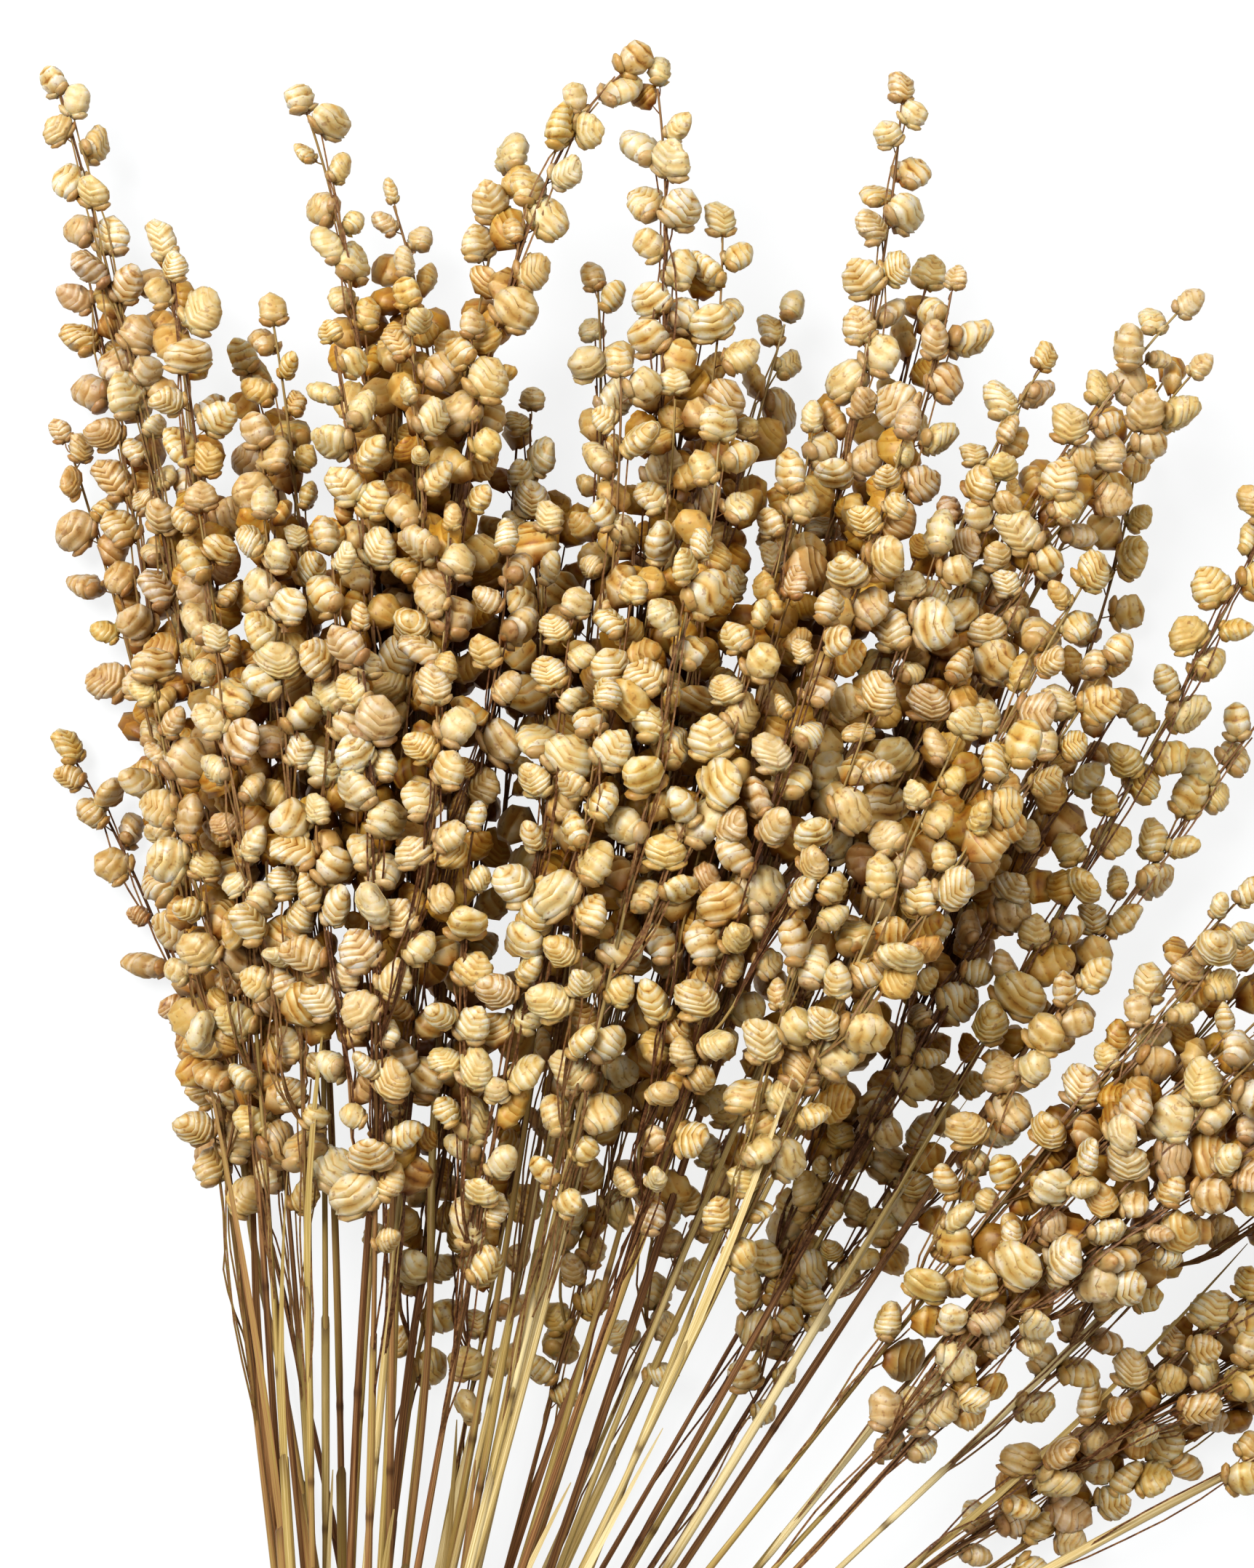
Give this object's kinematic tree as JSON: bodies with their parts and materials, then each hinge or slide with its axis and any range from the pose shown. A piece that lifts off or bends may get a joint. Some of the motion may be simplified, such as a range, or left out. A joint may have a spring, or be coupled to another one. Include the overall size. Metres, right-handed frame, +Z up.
{
  "type": "dried quaking grass bunch",
  "caption": "Bunch of dried quaking grass: straw stems tied with twine, lying flat, with heads of layered heart-shaped spikelets fanned out.",
  "frame": {"origin": "under the middle of the twine tie, on the surface that the bunch lies on", "axes": "+Z up from the surface, +Y from the tie towards the heads, +X to the right of the heads"},
  "size_m": [0.273, 0.4259, 0.062],
  "materials": {
    "straw": "matt dried straw",
    "twine": "rough twisted twine"
  },
  "bodies": {
    "root": {"stem_01": "straw", "stem_02": "straw", "stem_03": "straw", "stem_04": "straw", "stem_05": "straw", "stem_06": "straw", "stem_07": "straw", "stem_08": "straw", "stem_09": "straw", "stem_10": "straw", "stem_11": "straw", "stem_12": "straw", "stem_13": "straw", "stem_14": "straw", "stem_15": "straw", "stem_16": "straw", "stem_17": "straw", "stem_18": "straw", "stem_19": "straw", "stem_20": "straw", "stem_21": "straw", "stem_22": "straw", "stem_23": "straw", "stem_24": "straw", "stem_25": "straw", "stem_26": "straw", "stem_27": "straw", "stem_28": "straw", "stem_29": "straw", "stem_30": "straw", "stem_31": "straw", "stem_32": "straw", "stem_33": "straw", "stem_34": "straw", "stem_35": "straw", "stem_36": "straw", "stem_37": "straw", "stem_38": "straw", "stem_39": "straw", "stem_40": "straw", "stem_41": "straw", "stem_42": "straw", "stem_43": "straw", "stem_44": "straw", "stem_45": "straw", "stem_46": "straw", "stem_47": "straw", "stem_48": "straw", "stem_49": "straw", "stem_50": "straw", "stem_51": "straw", "stem_52": "straw", "stem_53": "straw", "stem_54": "straw", "stem_55": "straw", "stem_56": "straw", "stem_57": "straw", "tie": "twine"}
  },
  "joints": []
}
